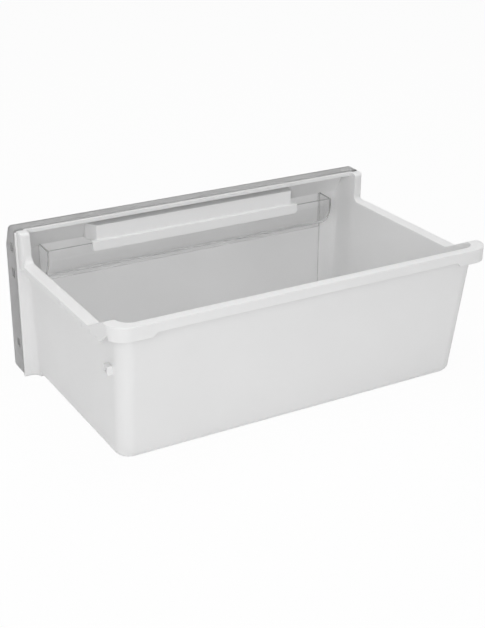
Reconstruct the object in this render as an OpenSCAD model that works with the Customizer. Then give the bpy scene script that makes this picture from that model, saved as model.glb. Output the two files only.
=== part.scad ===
// Freezer drawer: a white moulded bin with a clip-on front panel,
// a clear finger trough behind it and a white grip cover over the trough.
// The front panel faces -Y, the open bin looks up along +Z.

/* [Front panel] */
// Width of the front panel
panel_w = 455; // [445:1:475]
// Height of the front panel
panel_h = 177; // [174:1:186]
// How far the flat front stands before its top edge
panel_bulge = 15; // [13:0.5:17]
// Height of the sloped band along the top of the front
slope_h = 33; // [31:1:36]
// Wall of the front panel
panel_t = 3; // [2.6:0.1:3.4]
// Depth of the skirt behind the top edge
skirt_d = 16.5; // [15.5:0.5:19]
// Rounding of the lower front edge
panel_foot_r = 14; // [10:1:18]
// Rounding of the two upright front edges
panel_edge_r = 5; // [3:0.5:7]
// Rounding of the panel's four corners, seen from the front
panel_corner_r = 4; // [3:0.5:6]
// Air under the front panel when the drawer stands
panel_lift = 1; // [0.5:0.25:2]

/* [Grip opening] */
// Length of the opening for the fingers
slot_w = 240; // [200:5:250]
// Height of the opening for the fingers
slot_h = 15; // [12:0.5:16]
// Lower edge of the opening above the foot of the slope
slot_rise = 2.5; // [2:0.5:4]

/* [Bin] */
// How far the foot of each side wall stands in from the panel's side
floor_inset = 16.2; // [14:0.1:20]
// Distance from the panel's top edge back to the foot of the rear wall
floor_d = 246; // [225:1:270]
// Wall of the bin
wall_t = 2.4; // [2:0.1:2.8]
// Lean of the side walls
side_draft = 1.73; // [1:0.05:2.2]
// Lean of the rear wall
rear_draft = 7.67; // [5:0.1:9]
// Rounding of the upright rear corners
corner_r = 17; // [14:1:22]
// Rounding along the foot of the walls
foot_r = 9; // [6:0.5:12]
// Air between the front panel and the bin inside it
panel_gap = 0.6; // [0.4:0.1:1.2]
// Thickness of the flange that carries the front panel
flange_t = 3; // [2.4:0.1:3.6]
// Margin from the panel's side to the flange's edge
flange_margin = 0.5; // [0.2:0.1:1]
// Hollow corner between the flange and the side wall
flare_r = 9; // [6:0.5:11]

/* [Window in the bin's front] */
// Width of the window
window_w = 380; // [360:2:390]
// Upper edge of the window, below the panel's top
window_drop = 32; // [30:0.5:34]
// Height of the sill under the window
sill_h = 8; // [5:0.5:14]

/* [Rim] */
// Height of the side rails below the panel's top
rail_drop = 35.7; // [33:0.1:40]
// Height of the rear rim and its ears above the side rails
rim_rise = 18.3; // [16:0.1:21]
// How far the rear rim reaches behind the foot of the rear wall
rim_reach = 29.6; // [28:0.2:33]
// Thickness of the rails and of the rim
rim_t = 2.5; // [2.2:0.1:3]
// Thickness of the lip that turns down
lip_t = 2.2; // [1.8:0.1:2.6]
// Depth of the lip along the side rails
rail_lip = 8.1; // [6:0.5:10]
// Depth of the lip along the rear
rear_lip = 11.1; // [10:0.1:13]
// Depth of the lip at the ears
ear_lip = 15.5; // [15:0.1:18]
// Width of each deep stretch of lip at the rear corners
ear_w = 46; // [38:1:60]
// Rounding of the ears in plan
ear_r = 21; // [17:1:24]
// Reach of each ear forward of the rear rim's edge
ear_d = 21.6; // [18:0.1:26]
// Slant between the lip's depth at the ears and along the rear
ear_slant = 5; // [3:0.5:8]
// Distance from the start of each ear back to the notch in its lip
notch_d = 5; // [3:0.5:8]
// Height of the notch above the lower edge of the ear's lip
notch_rise = 3.7; // [2:0.1:5]
// Length of the notch's rear flank
notch_w = 2.5; // [1.5:0.1:4]
// Slope of the ramp from rail to ear
ramp_angle = 27; // [22:1:40]
// Rounding at the foot and at the head of the ramp
ramp_r = 15; // [8:1:20]

/* [Posts] */
// Distance from the panel's top edge back to the posts' rear face
post_d = 31; // [28:0.5:36]
// Height of the posts above the side rails
post_h = 34.5; // [33:0.5:36]
// Step in of the posts from the side rails
post_inset = 1.6; // [1:0.1:3]
// Rounding of the posts' outer corners
post_r = 4; // [3:0.5:6]
// Hollow bend between a post and its rail
bend_r = 8; // [5:0.5:12]

/* [Rail ribs and lugs] */
// Distance from the start of each ear forward to the first rib
rib_first = 19.5; // [18:0.5:24]
// Number of ribs along each rail
rib_count = 6; // [3:1:8]
// Spacing of the ribs
rib_pitch = 18.5; // [15:0.1:19]
// Length of a rib along the rail
rib_w = 5; // [3:0.5:6]
// Height of a rib
rib_h = 3.4; // [2.5:0.1:4]
// How far a rib stands out from the lip
rib_out = 0.6; // [0.3:0.1:0.9]
// Distance from the rear rim's edge forward to the lugs
lug_d = 38; // [36:0.2:60]
// Length of a lug along the wall
lug_l = 10; // [8:0.5:12]
// Height of a lug
lug_h = 9.5; // [8:0.5:14]
// How far a lug stands out from the wall
lug_out = 6; // [4:0.5:8]
// Height of the lug's middle above the floor
lug_z = 103; // [90:1:110]
// Wall of a lug
lug_t = 2; // [1.6:0.1:2.4]

/* [Snap hooks] */
// Height of the lower snap window above the floor
snap_low = 38; // [32:1:50]
// Drop of the middle snap window below the panel's top
snap_mid_drop = 54.5; // [48:0.5:62]
// Drop of the upper snap window below the panel's top
snap_top_drop = 24; // [20:0.5:28]
// Height of each window in the panel's skirt
snap_h = 10; // [8:0.5:12]
// Depth of each window in the panel's skirt
snap_d = 7; // [6:0.5:8]
// Distance from the skirt's rear edge forward to the middle of the windows
snap_back = 10; // [7:0.5:11]
// Air round each hook
snap_gap = 0.4; // [0.3:0.1:0.6]
// Thickness of a hook
hook_t = 2.4; // [2:0.1:3]
// How far a hook's tip reaches into its window
hook_in = 1.2; // [0.8:0.1:2]

/* [Finger trough] */
// Wall of the clear trough
trough_t = 2; // [1.6:0.1:2.4]
// Radius of the trough's rounded back
trough_r = 34; // [31:0.5:36]
// How far the trough's back reaches behind the panel's top edge
trough_reach = 15.4; // [14:0.2:15.8]
// Height of the upright stretch above the rounded back
trough_top = 7.8; // [6:0.2:10]
// Air between the trough's ends and the window
trough_gap = 0.4; // [0.2:0.1:0.6]
// Height of the foot that lies on the panel
trough_foot = 6; // [4:0.5:8]

/* [Grip cover] */
// Length of the cover along its lip
cover_w = 273; // [268:1:285]
// Taper of each end of the cover
cover_taper = 7; // [4:0.5:9]
// Wall of the cover
cover_t = 2.2; // [1.8:0.1:2.6]
// How far the cover's back stands behind the panel's top edge
cover_reach = 16; // [15.8:0.1:17]
// Height of the cover above its ledge
cover_h = 17.1; // [16:0.1:18]
// Drop of the ledge's underside below the window's upper edge
ledge_drop = 0.9; // [0.5:0.1:2]
// Depth of the ledge behind the cover
ledge_d = 4; // [3.6:0.1:5]
// Thickness of the ledge
ledge_t = 2.9; // [2.4:0.1:3.2]
// Depth of the lip that hangs from the ledge
cover_lip = 12; // [9:0.5:14]
// Rounding of the lip's lower corners
cover_lip_r = 4; // [2:0.5:5]
// Air between the ledge and the trough's edge
seat_gap = 0.3; // [0.2:0.05:0.4]

/* [Hidden] */
$fn = 48;
over = 1;

panel_top = panel_lift + panel_h;
slope_z = panel_top - slope_h;
slope_angle = atan(panel_bulge / slope_h);
bin_inset = panel_t + panel_gap;
floor_w = panel_w - 2 * floor_inset;
rail_z = panel_top - rail_drop;
rim_z = rail_z + rim_rise;
frame_inset = bin_inset + wall_t;
flange_y = skirt_d;
flange_back = flange_y + flange_t;
flange_w = panel_w - 2 * flange_margin;
flange_top = panel_top - bin_inset;
rim_back = floor_d + rim_reach;
y_mid = (rim_back - panel_bulge) / 2;
rail_w = panel_w - 2 * rib_out;
post_z = rail_z + post_h;
ear_y = rim_back - ear_d;
ramp_y = ear_y - rim_rise / tan(ramp_angle) - 2 * ramp_r * tan(ramp_angle / 2);
tub_top = panel_top + over;
window_top = panel_top - window_drop;
window_z = panel_lift + frame_inset + sill_h;
ledge_z = window_top - ledge_drop;
trough_x = window_w / 2 - trough_gap;
trough_bend_z = ledge_z - seat_gap - trough_top;
trough_cy = trough_reach - trough_r;
cover_top = ledge_z + ledge_t + cover_h;
slot_z = slope_z + slot_rise;
lug_y = rim_back - lug_d;
snap_y = skirt_d - snap_back;
snap_spots = [snap_low, panel_top - snap_mid_drop, panel_top - snap_top_drop];
hook_x = panel_w / 2 - panel_t - snap_gap;

// Half width of the bin's outside at height z
function half_w(z) = floor_w / 2 + z * tan(side_draft);
// Rear face of the bin's outside at height z
function rear_y(z) = floor_d + z * tan(rear_draft);

// Spreads a drawing of depth and height across the width w
module across(w) {
    rotate([90, 0, 90]) translate([0, 0, -w / 2]) linear_extrude(w) children();
}

// Points of an arc round c from angle a to angle b
function arc(c, r, a, b, n = 10) =
    [for (i = [0:n]) c + r * [cos(a + (b - a) * i / n), sin(a + (b - a) * i / n)]];

// Section of the front panel, moved in by i, open at the depth back
module panel_section(i, back) {
    front = -panel_bulge + i;
    top = panel_top - i;
    bottom = panel_lift + i;
    knee = slope_z - i * tan(slope_angle / 2);
    crest = -panel_bulge + (i + (slope_h - i) * sin(slope_angle)) / cos(slope_angle);
    foot = panel_foot_r - i;
    polygon(concat(
        [[back, bottom]],
        arc([front + foot, bottom + foot], foot, 270, 180),
        [[front, knee], [crest, top], [back, top]]));
}

// Front panel's plan with its rounded front edges, moved in by i
module panel_plan(i) {
    w = panel_w / 2 - i;
    r = panel_edge_r - i / 2;
    y = -panel_bulge + i;
    for (s = [-1, 1]) translate([s * (w - r), y + r]) circle(r);
    translate([-w + r, y]) square([2 * (w - r), r]);
    translate([-w, y + r]) square([2 * w, skirt_d - y - r + i]);
}

// Front panel's outline with its rounded corners, moved in by i
module panel_outline(i) {
    w = panel_w - 2 * i;
    h = panel_h - 2 * i;
    r = panel_corner_r - i / 2;
    translate([0, 0, panel_lift + panel_h / 2]) rotate([90, 0, 0])
        linear_extrude(4 * skirt_d, center = true) {
            square([w - 2 * r, h], center = true);
            square([w, h - 2 * r], center = true);
            for (x = [-1, 1], z = [-1, 1]) translate([x * (w / 2 - r), z * (h / 2 - r)]) circle(r);
        }
}

module panel_solid(i) {
    intersection() {
        across(panel_w) panel_section(i, skirt_d + i);
        linear_extrude(panel_top + over) panel_plan(i);
        panel_outline(i);
    }
}

module finger_slot() {
    r = slot_h / 2;
    translate([0, 0, slot_z + r]) rotate([90, 0, 0])
        linear_extrude(2 * panel_bulge, center = true) {
            square([slot_w - slot_h, slot_h], center = true);
            for (s = [-1, 1]) translate([s * (slot_w / 2 - r), 0]) circle(r);
        }
}

module skirt_windows() {
    for (s = [-1, 1], z = snap_spots)
        translate([s * (panel_w - panel_t) / 2, snap_y, z])
            cube([3 * panel_t, snap_d, snap_h], center = true);
}

module front_panel() {
    color("#b4b8bc") difference() {
        panel_solid(0);
        panel_solid(panel_t);
        finger_slot();
        skirt_windows();
    }
}

// Foot of an upright corner: a disc with a rounded lower edge
module corner_foot(r, edge) {
    rotate_extrude($fn = 32) polygon(concat(
        [[0, 0]], arc([r - edge, edge], edge, 270, 360, 5), [[r, 2 * edge], [0, 2 * edge]]));
}

// The bin as a solid block, moved in by i, from the depth front backwards
module tub(i, front, front_r) {
    edge = foot_r - i;
    r = corner_r - i;
    hull() for (s = [-1, 1]) {
        translate([s * (half_w(foot_r) - corner_r), rear_y(foot_r) - corner_r, i])
            corner_foot(r, edge);
        translate([s * (half_w(tub_top) - corner_r), rear_y(tub_top) - corner_r, tub_top])
            cylinder(r = r, h = over, $fn = 32);
        translate([s * (half_w(foot_r) - i - edge), front + edge, i + edge])
            sphere(edge, $fn = 24);
        translate([s * (half_w(tub_top) - i - front_r), front + front_r, tub_top])
            cylinder(r = front_r, h = over, $fn = 24);
    }
}

// Everything behind the depth y
module behind(y) {
    translate([-panel_w, y, -over])
        cube([2 * panel_w, 2 * rim_back, 2 * panel_top]);
}

// Outside of the bin: a box inside the panel, then the tub behind the flange
module bin_outside() {
    intersection() {
        tub(0, -3 * panel_bulge, over);
        union() {
            across(panel_w) panel_section(bin_inset, flange_y + over);
            behind(flange_y);
        }
    }
}

module bin_inside() {
    intersection() {
        tub(wall_t, -panel_bulge + frame_inset, foot_r - wall_t);
        union() {
            across(panel_w) panel_section(frame_inset, flange_back + over);
            behind(flange_back);
        }
    }
}

// Ground under the line of post, rail, ramp and ear, moved down by i
module under_rim(i) {
    polygon(concat(
        [[-3 * panel_bulge, -over], [-3 * panel_bulge, post_z - i]],
        arc([post_d - bend_r / 2, post_z - bend_r / 2], bend_r / 2 - i, 90, 0),
        arc([post_d + bend_r, rail_z + bend_r], bend_r + i, 180, 270),
        arc([ramp_y, rail_z + ramp_r], ramp_r + i, 270, 270 + ramp_angle, 6),
        arc([ear_y, rim_z - ramp_r], ramp_r - i, 90 + ramp_angle, 90, 6),
        [[2 * rim_back, rim_z - i], [2 * rim_back, -over]]));
}

// Ground above the lower edge of the lip along the sides
module above_lip() {
    low = rail_z - rail_lip;
    ear_low = rim_z - ear_lip;
    notch_y = ear_y + notch_d;
    polygon([
        [flange_y, 2 * post_z], [flange_y, low], [ear_y - ramp_r, low],
        [notch_y, ear_low + notch_rise], [notch_y + notch_w, ear_low],
        [2 * rim_back, ear_low], [2 * rim_back, 2 * post_z]]);
}

// Plan of posts, rails, ears and rear rim, moved in by i
module rim_plan(i) {
    w = rail_w / 2 - i;
    r = ear_r - i;
    corner = [rail_w / 2 - post_inset - post_r, post_d - post_r];
    side = concat(
        [[w - post_inset, flange_y]],
        arc(corner, post_r - i, 0, 90, 5),
        [[w, post_d + bend_r], [w, rim_back - i - r]]);
    for (s = [-1, 1]) translate([s * (w - r), rim_back - i - r]) circle(r);
    translate([-w + r, rim_back - i - 2 * r]) square([2 * (w - r), 2 * r]);
    polygon(concat(side, [for (k = [len(side) - 1:-1:0]) [-side[k][0], side[k][1]]]));
}

module upright(h) {
    linear_extrude(h) children();
}

// The part of the rear lip that hangs less deep than at the ears
module rear_lip_cut() {
    low = rim_z - ear_lip;
    high = rim_z - rear_lip;
    w = rail_w / 2 - ear_w;
    translate([0, 2 * rim_back, 0]) rotate([90, 0, 0]) linear_extrude(rim_back + ear_r)
        polygon([
            [-w - ear_slant, low - over], [-w, high], [w, high], [w + ear_slant, low - over]]);
}

module rim() {
    intersection() {
        upright(2 * panel_top) rim_plan(0);
        across(panel_w) difference() {
            under_rim(0);
            under_rim(rim_t);
        }
        behind(flange_back);
    }
    difference() {
        intersection() {
            upright(2 * panel_top) difference() {
                rim_plan(0);
                rim_plan(lip_t);
            }
            across(panel_w) intersection() {
                under_rim(0);
                above_lip();
            }
            behind(flange_back);
        }
        rear_lip_cut();
    }
}

module front_flange() {
    translate([-flange_w / 2, flange_y, 0])
        cube([flange_w, flange_t, flange_top]);
}

// Hollow corner along the flange on both side walls
module flares() {
    top = rail_z - rim_t;
    for (s = [-1, 1]) translate([s * floor_w / 2, flange_back, 0])
        rotate([0, s * side_draft, 0]) mirror([s < 0 ? 1 : 0, 0, 0])
            translate([0, 0, foot_r * sin(side_draft)]) linear_extrude(top) difference() {
                translate([-foot_r, -flange_t / 2])
                    square([flare_r + foot_r, flare_r + flange_t / 2]);
                translate([flare_r, flare_r]) circle(flare_r);
            }
}

module rail_ribs() {
    z = rail_z - rail_lip / 2 - rib_h / 4;
    depth = lip_t / 2 + rib_out;
    for (s = [-1, 1], k = [0:rib_count - 1])
        translate([s * (panel_w - depth) / 2, ear_y - rib_first - k * rib_pitch, z])
            cube([depth, rib_w, rib_h], center = true);
}

// Square hollow lugs on the side walls near the rear corners
module lugs() {
    for (s = [-1, 1]) difference() {
        translate([s * (half_w(lug_z) + lug_out / 2 - wall_t / 2), lug_y, lug_z])
            cube([lug_out + wall_t, lug_l, lug_h], center = true);
        translate([s * (half_w(lug_z) + lug_out / 2 + over), lug_y, lug_z])
            cube([lug_out, lug_l - 2 * lug_t, lug_h - 2 * lug_t], center = true);
    }
}

// Hooks on the flange that reach forward into the skirt's windows
module snap_hooks() {
    reach = skirt_d - snap_y;
    h = snap_h - 2 * snap_gap;
    back = snap_y + snap_d / 2 - snap_gap;
    for (s = [-1, 1], z = snap_spots) translate([s * hook_x, 0, z]) {
        translate([-s * hook_t / 2, flange_y - reach / 2 + over / 2, 0])
            cube([hook_t, reach + over, h], center = true);
        translate([0, 0, -h / 2]) linear_extrude(h) polygon([
            [-s * over, back], [s * (snap_gap + hook_in), back],
            [s * snap_gap, snap_y], [-s * over, snap_y]]);
    }
}

module front_window() {
    r = foot_r - wall_t;
    h = window_top - window_z;
    translate([0, 0, window_z + h / 2]) rotate([90, 0, 0])
        linear_extrude(2 * panel_bulge, center = true) {
            translate([-window_w / 2, -h / 2 + r]) square([window_w, h - r]);
            translate([-window_w / 2 + r, -h / 2]) square([window_w - 2 * r, 2 * r]);
            for (s = [-1, 1]) translate([s * (window_w / 2 - r), -h / 2 + r]) circle(r);
        }
}

// Gap in the bin's front that the grip cover closes
module grip_gap() {
    w = cover_w - 2 * cover_taper - 2 * cover_t;
    top = cover_top - cover_t;
    translate([-w / 2, -panel_bulge, window_top - over])
        cube([w, panel_bulge + flange_y, top - window_top + over]);
}

module bin() {
    color("#f2f3f2") {
        difference() {
            union() {
                intersection() {
                    bin_outside();
                    across(2 * panel_w) under_rim(0);
                }
                rim();
                front_flange();
                flares();
                lugs();
                rail_ribs();
            }
            bin_inside();
            front_window();
            grip_gap();
        }
        snap_hooks();
    }
}

// Section of the trough's outside: a rounded back under an upright, inside the panel
module trough_section(r, back) {
    front = -panel_bulge + panel_t;
    drop = acos((front - trough_cy) / r);
    intersection() {
        polygon(concat(
            [[front, window_top - trough_gap]],
            arc([trough_cy, trough_bend_z], r, -drop, 0, 16),
            [[back, trough_bend_z + trough_top]]));
        panel_section(panel_t, skirt_d);
    }
}

module finger_trough() {
    front = -panel_bulge + panel_t;
    foot_z = trough_bend_z - sqrt(trough_r * trough_r - pow(front - trough_cy, 2));
    color([0.85, 0.88, 0.9, 0.6]) {
        difference() {
            across(2 * trough_x) trough_section(trough_r, trough_reach);
            across(2 * (trough_x - trough_t))
                trough_hollow();
        }
        translate([-trough_x, front, foot_z - trough_foot + trough_t])
            cube([2 * trough_x, trough_t, trough_foot]);
    }
}

// Hollow of the trough, open towards the panel and upwards
module trough_hollow() {
    front = -panel_bulge + panel_t;
    r = trough_r - trough_t;
    drop = acos((front - trough_cy) / r);
    polygon(concat(
        [[front - over, 2 * ledge_z], [front - over, trough_bend_z - r * sin(drop)]],
        arc([trough_cy, trough_bend_z], r, -drop, 0, 16),
        [[trough_reach - trough_t, 2 * ledge_z]]));
}

// Plan of the grip cover with its tapered ends, moved in by i
module cover_plan(i) {
    front = -panel_bulge;
    back = cover_reach - i;
    w = cover_w / 2 - i;
    polygon([
        [-w, front], [w, front], [w, 0],
        [w - cover_taper, back], [-w + cover_taper, back], [-w, 0]]);
}

module cover_block(i, low) {
    intersection() {
        translate([0, 0, low]) upright(cover_top - i - low) cover_plan(i);
        across(panel_w) panel_section(frame_inset, cover_reach + over);
    }
}

module grip_cover() {
    low = ledge_z;
    back = cover_reach + ledge_d;
    r = cover_lip_r;
    color("#f6f6f5") {
        difference() {
            cover_block(0, low);
            translate([0, 0, low - over]) upright(cover_top - cover_t - low + over)
                cover_plan(cover_t);
        }
        translate([-cover_w / 2, cover_reach - cover_t, low])
            cube([cover_w, ledge_d + cover_t, ledge_t]);
        translate([0, back, low + ledge_t]) rotate([90, 0, 0]) linear_extrude(cover_t) {
            translate([-cover_w / 2, r - cover_lip]) square([cover_w, cover_lip - r]);
            translate([-cover_w / 2 + r, -cover_lip]) square([cover_w - 2 * r, cover_lip]);
            for (s = [-1, 1]) translate([s * (cover_w / 2 - r), r - cover_lip]) circle(r);
        }
    }
}

translate([0, -y_mid, 0]) {
    bin();
    front_panel();
    finger_trough();
    grip_cover();
}
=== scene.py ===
"""Looks of a freezer drawer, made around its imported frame.

The drawer has four mouldings: a white bin, a grey front panel, a clear finger trough and a white
grip cover. A class for each one rounds its edges as its tool would leave them and gives it the
finish of its plastic. A studio and a camera follow.
"""

import logging
import math
from abc import ABC, abstractmethod
from dataclasses import dataclass, field
from enum import Enum
from typing import Any, Mapping, Sequence, Union

import bmesh
import bpy
import numpy as np
from mathutils import Matrix, Vector


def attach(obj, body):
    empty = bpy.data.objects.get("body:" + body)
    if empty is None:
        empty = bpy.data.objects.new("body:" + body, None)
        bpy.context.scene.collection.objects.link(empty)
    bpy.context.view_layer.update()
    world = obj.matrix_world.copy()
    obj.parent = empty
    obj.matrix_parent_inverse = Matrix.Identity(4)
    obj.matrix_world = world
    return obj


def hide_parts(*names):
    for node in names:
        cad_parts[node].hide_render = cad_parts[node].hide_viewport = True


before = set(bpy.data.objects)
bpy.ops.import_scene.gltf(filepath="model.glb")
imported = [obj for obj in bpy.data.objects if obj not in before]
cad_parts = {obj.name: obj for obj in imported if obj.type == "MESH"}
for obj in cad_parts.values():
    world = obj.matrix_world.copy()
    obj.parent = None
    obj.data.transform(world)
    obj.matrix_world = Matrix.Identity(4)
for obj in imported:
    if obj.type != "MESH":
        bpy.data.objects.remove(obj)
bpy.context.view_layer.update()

MM = 0.001
BODY = "root"

# Cosine below which two edges, both seen from their common corner, carry one another on
CARRIES_ON = -0.7
# Share of a crossing edge that a rounding may use up, where that edge is not rounded and where it is
ROOM_ALONE = 0.9
ROOM_BESIDE = 0.45

log = logging.getLogger("freezer_drawer")

Value = Union[float, Sequence[float], bpy.types.NodeSocket]


class Slot(Enum):
    """Material slots of the record."""

    WHITE_MOULDING = "white_moulding"
    GREY_PANEL = "grey_panel"
    CLEAR_TROUGH = "clear_trough"
    WHITE_COVER = "white_cover"


class Ray(Enum):
    """Kinds of ray for which the background is plain white."""

    CAMERA = "Is Camera Ray"
    GLOSSY = "Is Glossy Ray"
    TRANSMISSION = "Is Transmission Ray"


def linear(hex_colour: str) -> tuple[float, float, float, float]:
    """Turns an sRGB colour into the linear colour that shaders take.

    Args:
        hex_colour: Colour as #rrggbb.

    Returns:
        Red, green, blue and an alpha of 1.
    """
    parts = [int(hex_colour[i : i + 2], 16) / 255 for i in (1, 3, 5)]
    red, green, blue = (p / 12.92 if p <= 0.04045 else ((p + 0.055) / 1.055) ** 2.4 for p in parts)
    return red, green, blue, 1.0


def per_metre(size_mm: float) -> float:
    """Gives the texture scale at which one cell is size_mm wide."""
    return 1.0 / (size_mm * MM)


def add(
    tree: bpy.types.NodeTree,
    kind: str,
    inputs: Mapping[Union[str, int], Value],
    **settings: Any,
) -> bpy.types.Node:
    """Adds a node with its settings and links.

    Args:
        tree: Node tree that gets the node.
        kind: Blender's name for the node's type.
        inputs: A number, a colour or another node's output for each named input.
        **settings: Properties of the node itself.

    Returns:
        The new node.
    """
    node = tree.nodes.new(kind)
    for name, value in settings.items():
        setattr(node, name, value)
    for key, value in inputs.items():
        socket = node.inputs[key]
        if isinstance(value, bpy.types.NodeSocket):
            tree.links.new(value, socket)
        else:
            socket.default_value = value
    return node


@dataclass(frozen=True)
class Finish(ABC):
    """Surface of one plastic, as its mould left it.

    Attributes:
        name: Material name, in plain words.
        colour: Colour of the plastic.
        cloud: Colour where the melt flowed together, a shade off the first.
        cloud_mm: Width of those soft clouds.
        grain_mm: Width of one grain of the mould's texture, drawn coarser than real so that it shows.
        grain_depth_mm: Depth of that texture.
        roughness: Lowest and highest roughness.
        edge_mm: Radius that the finish gives to edges left sharp in the mesh.
    """

    name: str
    colour: str
    cloud: str
    cloud_mm: float
    grain_mm: float
    grain_depth_mm: float
    roughness: tuple[float, float]
    edge_mm: float

    def material(self) -> bpy.types.Material:
        """Builds the material: clouded colour, uneven gloss and grained, softened edges.

        Returns:
            The finished material.
        """
        material = bpy.data.materials.new(self.name)
        material.use_nodes = True
        tree = material.node_tree
        shader = tree.nodes["Principled BSDF"]
        place = add(tree, "ShaderNodeTexCoord", {}).outputs["Object"]
        clouds = add(
            tree, "ShaderNodeTexNoise",
            {"Vector": place, "Scale": per_metre(self.cloud_mm), "Detail": 3.0, "Roughness": 0.5},
        ).outputs["Fac"]
        colour = add(
            tree, "ShaderNodeMix",
            {"Factor": clouds, "A": linear(self.colour), "B": linear(self.cloud)},
            data_type="RGBA",
        )
        gloss = add(
            tree, "ShaderNodeMapRange",
            {"Value": clouds, "From Min": 0.3, "From Max": 0.7,
             "To Min": self.roughness[0], "To Max": self.roughness[1]},
        ).outputs["Result"]
        grain = add(
            tree, "ShaderNodeTexNoise",
            {"Vector": place, "Scale": per_metre(self.grain_mm), "Detail": 2.0, "Roughness": 0.6},
        ).outputs["Fac"]
        edge = add(
            tree, "ShaderNodeBevel", {"Radius": self.edge_mm * MM}, samples=6,
        ).outputs["Normal"]
        bump = add(
            tree, "ShaderNodeBump",
            {"Height": grain, "Distance": self.grain_depth_mm * MM, "Strength": 1.0, "Normal": edge},
        ).outputs["Normal"]
        tree.links.new(colour.outputs["Result"], shader.inputs["Base Color"])
        tree.links.new(gloss, shader.inputs["Roughness"])
        tree.links.new(bump, shader.inputs["Normal"])
        self.tune(shader)
        return material

    @abstractmethod
    def tune(self, shader: bpy.types.ShaderNodeBsdfPrincipled) -> None:
        """Sets what the plastic itself gives: index, depth of light and clarity."""


@dataclass(frozen=True)
class MouldedPolystyrene(Finish):
    """High impact polystyrene: an opaque white whose thin walls let a little light creep in.

    The eye sees a satin sheen and soft shades in the corners.

    Attributes:
        creep: Share of the light that creeps in before it comes back.
        depth_mm: How far it creeps.
    """

    name: str = "moulded_white_polystyrene"
    colour: str = "#efefef"
    cloud: str = "#ececec"
    cloud_mm: float = 60.0
    grain_mm: float = 0.9
    grain_depth_mm: float = 0.012
    roughness: tuple[float, float] = (0.38, 0.46)
    edge_mm: float = 1.2
    creep: float = 0.8
    depth_mm: float = 3.0

    def tune(self, shader: bpy.types.ShaderNodeBsdfPrincipled) -> None:
        """Gives polystyrene's index and a shallow scatter of light."""
        shader.inputs["IOR"].default_value = 1.59
        shader.inputs["Specular IOR Level"].default_value = 0.4
        shader.inputs["Subsurface Weight"].default_value = self.creep
        shader.inputs["Subsurface Radius"].default_value = (1.0, 1.0, 1.0)
        shader.inputs["Subsurface Scale"].default_value = self.depth_mm * MM


@dataclass(frozen=True)
class GrainedAbs(Finish):
    """Smoked, half clear ABS from a finely eroded mould, whose grain frosts what is behind it.

    The eye sees an even light grey, with the frame and the window behind it as soft shades.

    Attributes:
        clarity: Share of the light that goes through the surface.
        smoke: Colour of the light that the plastic lets through.
        smoke_per_metre: How fast it swallows the rest.
    """

    name: str = "grained_grey_abs"
    colour: str = "#e6e6e6"
    cloud: str = "#e3e3e3"
    cloud_mm: float = 80.0
    grain_mm: float = 0.7
    grain_depth_mm: float = 0.02
    roughness: tuple[float, float] = (0.36, 0.44)
    edge_mm: float = 0.6
    clarity: float = 0.82
    smoke: str = "#8e8e8e"
    smoke_per_metre: float = 42.0

    def tune(self, shader: bpy.types.ShaderNodeBsdfPrincipled) -> None:
        """Gives ABS its index, its clarity and the smoke inside it."""
        shader.inputs["IOR"].default_value = 1.53
        shader.inputs["Transmission Weight"].default_value = self.clarity
        tree = shader.id_data
        smoke = add(
            tree, "ShaderNodeVolumeAbsorption",
            {"Color": linear(self.smoke), "Density": self.smoke_per_metre},
        )
        out = next(node for node in tree.nodes if node.type == "OUTPUT_MATERIAL")
        tree.links.new(smoke.outputs["Volume"], out.inputs["Volume"])


@dataclass(frozen=True)
class ClearPolystyrene(Finish):
    """Crystal polystyrene from a polished mould.

    The eye sees it clear as glass, with thin dark lines along its edges. Its grain is the long,
    shallow wave that the melt leaves as it cools.

    Attributes:
        cover: Share of the light that its surface bends, while the rest goes straight through.
    """

    name: str = "clear_crystal_polystyrene"
    colour: str = "#ffffff"
    cloud: str = "#fdfdfd"
    cloud_mm: float = 90.0
    grain_mm: float = 30.0
    grain_depth_mm: float = 0.02
    roughness: tuple[float, float] = (0.02, 0.05)
    edge_mm: float = 0.3
    cover: float = 0.9

    def tune(self, shader: bpy.types.ShaderNodeBsdfPrincipled) -> None:
        """Gives polystyrene its high index and its clarity."""
        shader.inputs["IOR"].default_value = 1.59
        shader.inputs["Transmission Weight"].default_value = 1.0
        shader.inputs["Alpha"].default_value = self.cover


@dataclass(frozen=True)
class PolishedAbs(Finish):
    """White ABS from a polished mould: a brighter white with a closer gloss than the bin's."""

    name: str = "polished_white_abs"
    colour: str = "#f7f7f7"
    cloud: str = "#f5f5f5"
    cloud_mm: float = 70.0
    grain_mm: float = 1.5
    grain_depth_mm: float = 0.006
    roughness: tuple[float, float] = (0.29, 0.37)
    edge_mm: float = 0.8

    def tune(self, shader: bpy.types.ShaderNodeBsdfPrincipled) -> None:
        """Gives ABS its index."""
        shader.inputs["IOR"].default_value = 1.53


def welded(node: bpy.types.Object, weld_mm: float = 0.001, flat_deg: float = 0.3) -> bmesh.types.BMesh:
    """Copies a CAD node's mesh, joins its loose triangles and clears its flat faces of edges.

    Args:
        node: Object of the CAD node, which stays as it is.
        weld_mm: Distance below which corners are one.
        flat_deg: Angle below which neighbouring faces are one.

    Returns:
        A closed mesh for editing.
    """
    mesh = bmesh.new()
    mesh.from_mesh(node.data)
    bmesh.ops.remove_doubles(mesh, verts=mesh.verts, dist=weld_mm * MM)
    bmesh.ops.dissolve_limit(
        mesh, angle_limit=math.radians(flat_deg), verts=mesh.verts, edges=mesh.edges
    )
    return mesh


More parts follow.
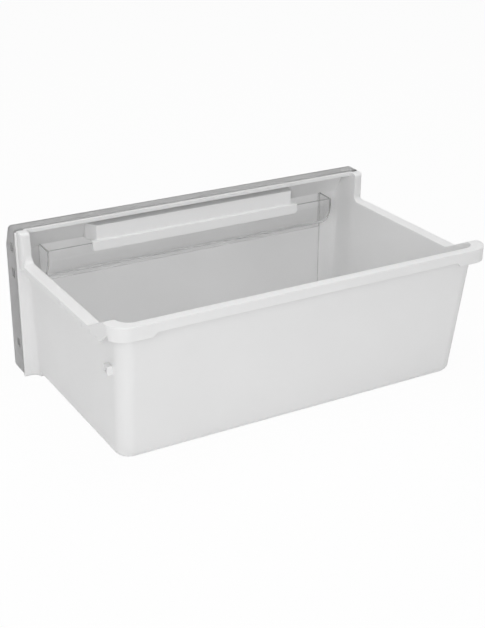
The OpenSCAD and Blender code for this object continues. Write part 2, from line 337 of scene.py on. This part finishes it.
def set_normals(data: bpy.types.Mesh, limit_deg: float) -> None:
    """Shades flat faces flat and curved ones smooth.

    Each corner gets the mean normal of the faces round its vertex, weighed by their area. Only
    faces that lean less than the limit from the corner's own face are counted, so that a large
    flat face all but keeps its own normal and the facets of a curve share theirs.

    Args:
        data: Finished mesh, whose corners lie in the order of its faces.
        limit_deg: Lean from which an edge is seen as an edge.
    """
    corners, faces = len(data.loops), len(data.polygons)
    vertex = np.empty(corners, dtype=np.int32)
    sizes = np.empty(faces, dtype=np.int32)
    normals = np.empty(3 * faces, dtype=np.float32)
    areas = np.empty(faces, dtype=np.float32)
    data.loops.foreach_get("vertex_index", vertex)
    data.polygons.foreach_get("loop_total", sizes)
    data.polygons.foreach_get("normal", normals)
    data.polygons.foreach_get("area", areas)
    normals = normals.reshape(faces, 3)
    face = np.repeat(np.arange(faces), sizes)
    order = np.argsort(vertex, kind="stable")
    round_it = np.bincount(vertex)
    first = np.cumsum(round_it) - round_it
    partners = round_it[vertex[order]]
    mine = np.repeat(np.arange(corners), partners)
    nth = np.arange(partners.sum()) - np.repeat(np.cumsum(partners) - partners, partners)
    other = np.repeat(first[vertex[order]], partners) + nth
    own_face, other_face = face[order[mine]], face[order[other]]
    lean = np.einsum("ij,ij->i", normals[own_face], normals[other_face])
    weight = areas[other_face] * (lean > math.cos(math.radians(limit_deg)))
    total = np.zeros((corners, 3))
    np.add.at(total, order[mine], weight[:, None] * normals[other_face])
    total /= np.linalg.norm(total, axis=1, keepdims=True)
    data.polygons.foreach_set("use_smooth", np.ones(faces, dtype=bool))
    data.normals_split_custom_set(total.tolist())


@dataclass
class Moulding:
    """One moulding of the drawer, made from its CAD node.

    Attributes:
        node: Name of the CAD node that it stands for.
        piece: Name of the finished piece.
        slot: Material slot of the record, which the build does not use.
        finish: Plastic and surface.
        round_mm: Radius along its edges.
        inset_mm: How far its faces are drawn in, so that clear plastic shares no face with another.
        steps: Faces across each rounded edge.
        sharp_deg: Angle from which an edge is rounded, and is seen as an edge.
        least_share: Smallest share of the radius that is still worth a rounding.
    """

    node: str
    piece: str
    slot: Slot
    finish: Finish
    round_mm: float = 0.8
    inset_mm: float = 0.0
    steps: int = 5
    sharp_deg: float = 21.0
    least_share: float = 0.15

    def build(self) -> bpy.types.Object:
        """Makes the rounded piece, dresses it and puts it in the node's place.

        Returns:
            The finished piece.
        """
        mesh = welded(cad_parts[self.node])
        self.weigh(mesh)
        data = bpy.data.meshes.new(self.piece)
        mesh.to_mesh(data)
        mesh.free()
        piece = bpy.data.objects.new(self.piece, data)
        bpy.context.scene.collection.objects.link(piece)
        data = self.shaped(piece)
        set_normals(data, self.sharp_deg)
        data.materials.append(self.finish.material())
        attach(piece, BODY)
        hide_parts(self.node)
        log.info("%s stands for %s, %d faces", self.piece, self.node, len(data.polygons))
        return piece

    def shaped(self, piece: bpy.types.Object) -> bpy.types.Mesh:
        """Draws the faces in, rounds the weighed edges and makes the result the piece's own mesh.

        Args:
            piece: Object whose mesh has its edges weighed.

        Returns:
            The piece's new mesh.
        """
        if self.inset_mm > 0:
            inset = piece.modifiers.new("off_its_neighbours", "DISPLACE")
            inset.strength = -self.inset_mm * MM
            inset.mid_level = 0.0
        if self.round_mm > 0:
            bevel = piece.modifiers.new("rounded_edges", "BEVEL")
            bevel.limit_method = "WEIGHT"
            bevel.width = self.round_mm * MM
            bevel.segments = self.steps
            bevel.use_clamp_overlap = False
        graph = bpy.context.evaluated_depsgraph_get()
        data = bpy.data.meshes.new_from_object(piece.evaluated_get(graph))
        piece.modifiers.clear()
        piece.data = data
        return data

    def weigh(self, mesh: bmesh.types.BMesh) -> None:
        """Writes each sharp edge's share of the radius, less where its neighbours leave less room.

        Edges that carry one another on get one share, the least of theirs, because the sides of
        a rounding that changes its radius along a straight run would cross far outside the piece.

        Args:
            mesh: Closed mesh whose edges get their share.
        """
        if self.round_mm <= 0:
            return
        layer = mesh.edges.layers.float.new("bevel_weight_edge")
        limit = math.radians(self.sharp_deg)
        sharp = {edge for edge in mesh.edges if edge.calc_face_angle(0.0) > limit}
        shares = {edge: min(1.0, self.room(edge, sharp) / (self.round_mm * MM)) for edge in sharp}
        left = {edge for edge, share in shares.items() if share >= self.least_share}
        while left:
            ends = [left.pop()]
            run = set(ends)
            while ends:
                ahead = [edge for edge in self.carrying_on(ends.pop()) if edge in left]
                left.difference_update(ahead)
                run.update(ahead)
                ends.extend(ahead)
            least = min(shares[edge] for edge in run)
            for edge in run:
                edge[layer] = least

    @staticmethod
    def carrying_on(edge: bmesh.types.BMEdge) -> list[bmesh.types.BMEdge]:
        """Finds the edges that carry this one on round a bend of less than 45 degrees.

        Args:
            edge: Edge whose two ends are looked at.

        Returns:
            Those edges, sharp or not.
        """
        found = []
        for corner in edge.verts:
            along = (edge.other_vert(corner).co - corner.co).normalized()
            for other in corner.link_edges:
                away = (other.other_vert(corner).co - corner.co).normalized()
                if other is not edge and along.dot(away) < CARRIES_ON:
                    found.append(other)
        return found

    @staticmethod
    def room(edge: bmesh.types.BMEdge, sharp: set[bmesh.types.BMEdge]) -> float:
        """Measures how far a rounding of this edge may reach.

        Args:
            edge: Edge to be rounded.
            sharp: All edges that are rounded.

        Returns:
            The least length along a crossing edge, of which a rounded one gives less than half.
        """
        reach = math.inf
        for corner in edge.verts:
            along = (edge.other_vert(corner).co - corner.co).normalized()
            for other in corner.link_edges:
                if other is edge:
                    continue
                away = (other.other_vert(corner).co - corner.co).normalized()
                if other not in sharp:
                    reach = min(reach, ROOM_ALONE * other.calc_length())
                elif along.dot(away) > CARRIES_ON:
                    reach = min(reach, ROOM_BESIDE * other.calc_length())
        return reach


@dataclass
class Bin(Moulding):
    """Bin with its walls, rails, rim, posts and front frame, all moulded in one.

    Its curves are in its mesh already, and the finish softens the edges that are left.
    """

    node: str = "bin"
    piece: str = "bin_moulding"
    slot: Slot = Slot.WHITE_MOULDING
    finish: Finish = MouldedPolystyrene()
    round_mm: float = 0.0


@dataclass
class FrontPanel(Moulding):
    """Grey shell that clips over the bin's front, with a finger slot in its sloped band."""

    node: str = "front_panel"
    piece: str = "front_panel_moulding"
    slot: Slot = Slot.GREY_PANEL
    finish: Finish = GrainedAbs()


@dataclass
class FingerTrough(Moulding):
    """Clear trough behind the finger opening."""

    node: str = "finger_trough"
    piece: str = "finger_trough_moulding"
    slot: Slot = Slot.CLEAR_TROUGH
    finish: Finish = ClearPolystyrene()
    round_mm: float = 0.35
    inset_mm: float = 0.03


@dataclass
class GripCover(Moulding):
    """White cover over the middle of the trough, with a ledge and a lip for the fingers."""

    node: str = "grip_cover"
    piece: str = "grip_cover_moulding"
    slot: Slot = Slot.WHITE_COVER
    finish: Finish = PolishedAbs()


@dataclass
class Studio:
    """White floor, soft lamps and a white world.

    Attributes:
        floor_m: Half the floor's width.
        floor_colour: Colour of the floor.
        floor_glow: Share of plain white that the floor shows to the camera.
        sky: Strength of the world's light on the object.
        aim_m: Height of the point that the lamps look at.
        lamps: Name, middle in metres, width in metres and power in watts of each softbox.
    """

    floor_m: float = 9.0
    floor_colour: str = "#f4f4f4"
    floor_glow: float = 0.95
    sky: float = 0.35
    aim_m: float = 0.08
    lamps: tuple[tuple[str, tuple[float, float, float], float, float], ...] = field(
        default=(
            ("rear_softbox", (0.7, 2.3, 0.75), 1.8, 10.0),
            ("near_softbox", (1.1, 1.1, 0.8), 0.9, 6.5),
            ("top_softbox", (0.0, 0.0, 2.2), 2.0, 21.0),
        )
    )

    def build(self) -> None:
        """Makes the floor, the lamps and the world."""
        self.floor()
        for name, place, side, watts in self.lamps:
            self.lamp(name, Vector(place), side, watts)
        self.world()

    def seen(self, tree: bpy.types.NodeTree) -> bpy.types.NodeSocket:
        """Gives 1 for rays from the camera, from reflections and through clear plastic.

        Args:
            tree: Node tree of the floor or the world.

        Returns:
            Output that is 1 for those rays and 0 for the others.
        """
        path = add(tree, "ShaderNodeLightPath", {})
        found = path.outputs[Ray.CAMERA.value]
        for ray in (Ray.GLOSSY, Ray.TRANSMISSION):
            found = add(
                tree, "ShaderNodeMath", {0: found, 1: path.outputs[ray.value]}, operation="MAXIMUM"
            ).outputs["Value"]
        return found

    def floor(self) -> bpy.types.Object:
        """Makes the floor: a flat square that shows nearly white and keeps the object's shadow.

        Returns:
            The floor.
        """
        side = np.array([-self.floor_m, self.floor_m])
        x, y = np.meshgrid(side, side)
        corners = np.stack([x.ravel(), y.ravel(), np.zeros(x.size)], axis=1)
        data = bpy.data.meshes.new("floor")
        data.from_pydata(corners.tolist(), [], [(0, 1, 3, 2)])
        floor = bpy.data.objects.new("floor", data)
        bpy.context.scene.collection.objects.link(floor)
        material = bpy.data.materials.new("white_studio_floor")
        material.use_nodes = True
        tree = material.node_tree
        tree.nodes.clear()
        paint = add(tree, "ShaderNodeBsdfDiffuse", {"Color": linear(self.floor_colour)})
        white = add(tree, "ShaderNodeEmission", {"Color": (1.0, 1.0, 1.0, 1.0), "Strength": 1.0})
        share = add(
            tree, "ShaderNodeMath", {0: self.seen(tree), 1: self.floor_glow}, operation="MULTIPLY"
        )
        mixed = add(
            tree, "ShaderNodeMixShader",
            {"Fac": share.outputs["Value"], 1: paint.outputs["BSDF"], 2: white.outputs["Emission"]},
        )
        add(tree, "ShaderNodeOutputMaterial", {"Surface": mixed.outputs["Shader"]})
        data.materials.append(material)
        return floor

    def lamp(self, name: str, place: Vector, side: float, watts: float) -> None:
        """Hangs a square softbox that looks at the drawer's middle.

        Args:
            name: Name of the lamp.
            place: Its middle, in metres.
            side: Its width, in metres.
            watts: Its power.
        """
        light = bpy.data.lights.new(name, "AREA")
        light.size = side
        light.energy = watts
        lamp = bpy.data.objects.new(name, light)
        lamp.location = place
        ahead = Vector((0.0, 0.0, self.aim_m)) - place
        lamp.rotation_euler = ahead.to_track_quat("-Z", "Y").to_euler()
        bpy.context.scene.collection.objects.link(lamp)

    def world(self) -> None:
        """Makes a world that looks white and lights the object at its own strength."""
        world = bpy.data.worlds.new("white_studio")
        bpy.context.scene.world = world
        world.use_nodes = True
        tree = world.node_tree
        strength = add(
            tree, "ShaderNodeMapRange",
            {"Value": self.seen(tree), "To Min": self.sky, "To Max": 1.0},
        )
        tree.nodes["Background"].inputs["Color"].default_value = (1.0, 1.0, 1.0, 1.0)
        tree.links.new(strength.outputs["Result"], tree.nodes["Background"].inputs["Strength"])


@dataclass(frozen=True)
class PhotoCamera:
    """Camera at the photograph's place, fitted to the drawer's straight edges.

    Attributes:
        place: Where it stands, in metres.
        turn_deg: Its turn about the upright, from straight at the rear wall.
        dip_deg: How far it looks down.
        roll_deg: Its roll.
        focal_px: Focal length in pixels of the photograph.
        height_px: Height of the photograph in pixels.
        sensor_mm: Height of the sensor.
    """

    place: tuple[float, float, float] = (0.6410, 1.1026, 0.6442)
    turn_deg: float = 30.01
    dip_deg: float = 24.15
    roll_deg: float = 0.356
    focal_px: float = 1231.15
    height_px: float = 628.0
    sensor_mm: float = 36.0

    def build(self) -> bpy.types.Object:
        """Makes the camera and hands it to the scene.

        Returns:
            The camera.
        """
        turn, dip, roll = (math.radians(a) for a in (self.turn_deg, self.dip_deg, self.roll_deg))
        ahead = Vector((-math.sin(turn), -math.cos(turn), 0.0))
        right = Vector((-math.cos(turn), math.sin(turn), 0.0))
        top = Vector((0.0, 0.0, 1.0))
        look = ahead * math.cos(dip) - top * math.sin(dip)
        up = top * math.cos(dip) + ahead * math.sin(dip)
        right, up = (
            right * math.cos(roll) + up * math.sin(roll),
            up * math.cos(roll) - right * math.sin(roll),
        )
        data = bpy.data.cameras.new("photo_camera")
        data.sensor_fit = "VERTICAL"
        data.sensor_height = self.sensor_mm
        data.lens = self.focal_px / self.height_px * self.sensor_mm
        camera = bpy.data.objects.new("photo_camera", data)
        axes = Matrix((right, up, -look)).transposed().to_4x4()
        camera.matrix_world = Matrix.Translation(self.place) @ axes
        bpy.context.scene.collection.objects.link(camera)
        bpy.context.scene.camera = camera
        return camera


def main() -> None:
    """Builds the drawer's mouldings in order, then the studio and the camera."""
    logging.basicConfig(level=logging.INFO, format="%(name)s: %(message)s")
    bpy.context.scene.view_settings.view_transform = "Standard"
    for moulding in (Bin(), FrontPanel(), FingerTrough(), GripCover()):
        moulding.build()
    Studio().build()
    PhotoCamera().build()


if __name__ == "__main__":
    main()
